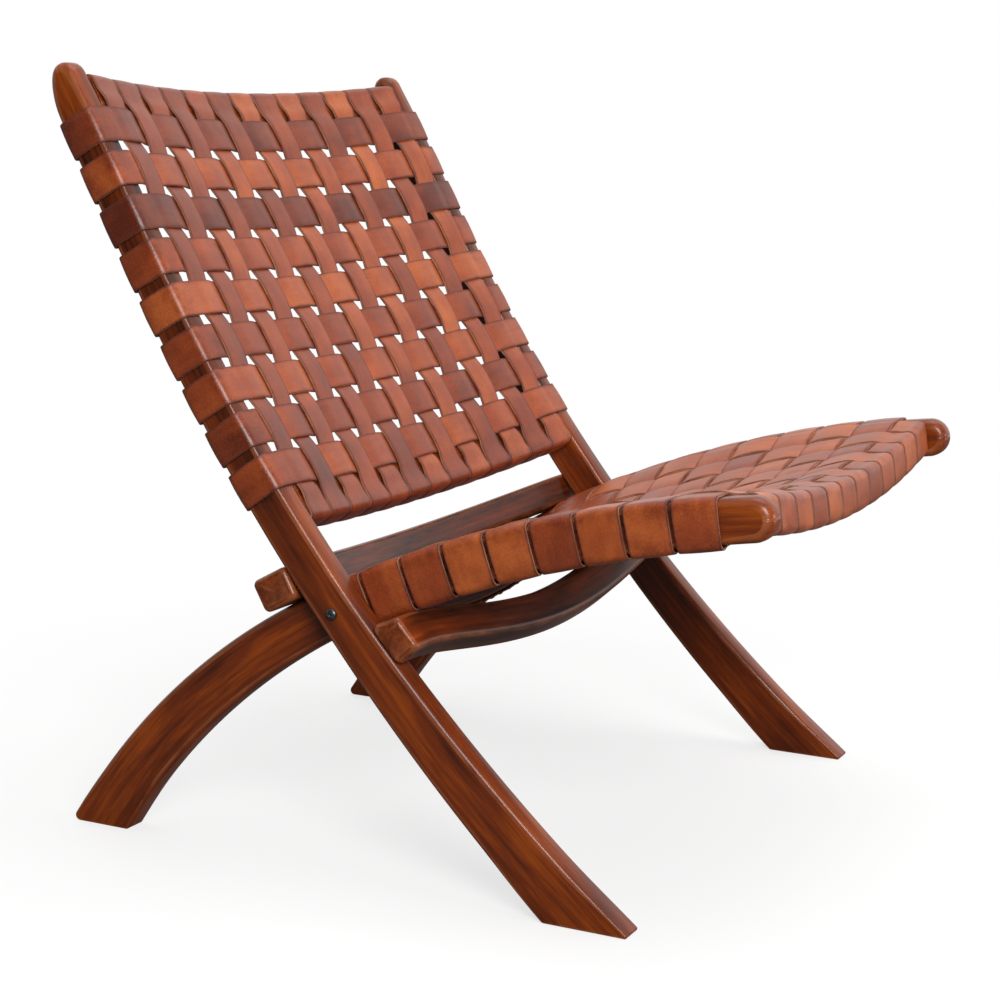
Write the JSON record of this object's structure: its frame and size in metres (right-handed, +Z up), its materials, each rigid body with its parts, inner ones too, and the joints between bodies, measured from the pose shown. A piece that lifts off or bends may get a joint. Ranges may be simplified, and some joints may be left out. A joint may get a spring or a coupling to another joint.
{
  "type": "folding lounge chair",
  "caption": "Low folding lounge chair: curved wooden frames crossed on a pivot line, with a reclined back and a seat of woven flat leather straps.",
  "frame": {"origin": "on the floor under the middle of the chair", "axes": "+Z up, the sitter faces -Y, +X to the sitter's left"},
  "size_m": [0.6072, 0.7012, 0.7132],
  "materials": {
    "wood": "satin lacquer over a brown stain",
    "leather": "satin, chestnut brown",
    "bolt_metal": "dark, satin"
  },
  "bodies": {
    "outer_frame": {"stile_right": "wood", "stile_left": "wood", "pivot_bolt_right": "bolt_metal", "pivot_bolt_left": "bolt_metal", "pivot_washer_right": "bolt_metal", "pivot_washer_left": "bolt_metal", "pivot_nut_right": "bolt_metal", "pivot_nut_left": "bolt_metal", "back_bottom_rail": "wood", "back_top_rail": "wood", "back_cross_strap_1": "leather", "back_cross_strap_2": "leather", "back_cross_strap_3": "leather", "back_cross_strap_4": "leather", "back_cross_strap_5": "leather", "back_cross_strap_6": "leather", "back_cross_strap_7": "leather", "back_cross_strap_8": "leather", "back_cross_strap_9": "leather", "back_upright_strap_1": "leather", "back_upright_strap_2": "leather", "back_upright_strap_3": "leather", "back_upright_strap_4": "leather", "back_upright_strap_5": "leather", "back_upright_strap_6": "leather", "back_upright_strap_7": "leather", "back_upright_strap_8": "leather", "back_upright_strap_9": "leather", "back_upright_strap_10": "leather", "back_upright_strap_11": "leather", "back_upright_strap_12": "leather", "back_upright_strap_13": "leather"},
    "inner_frame": {"seat_side_rail_right": "wood", "seat_side_rail_left": "wood", "seat_rear_rail": "wood", "seat_front_rail": "wood", "rear_stop_bar": "wood", "front_stop_bar": "wood", "seat_cross_strap_1": "leather", "seat_cross_strap_2": "leather", "seat_cross_strap_3": "leather", "seat_cross_strap_4": "leather", "seat_cross_strap_5": "leather", "seat_cross_strap_6": "leather", "seat_cross_strap_7": "leather", "seat_cross_strap_8": "leather", "seat_cross_strap_9": "leather", "seat_long_strap_1": "leather", "seat_long_strap_2": "leather", "seat_long_strap_3": "leather", "seat_long_strap_4": "leather", "seat_long_strap_5": "leather", "seat_long_strap_6": "leather", "seat_long_strap_7": "leather", "seat_long_strap_8": "leather", "seat_long_strap_9": "leather", "seat_long_strap_10": "leather", "seat_long_strap_11": "leather", "seat_long_strap_12": "leather"}
  },
  "joints": [
    {"name": "fold", "type": "hinge", "parent": "outer_frame", "child": "inner_frame", "pos_m": [0, 0.03776, 0.2441], "axis": [-1, 0, 0], "range_deg": [0, 72]}
  ]
}
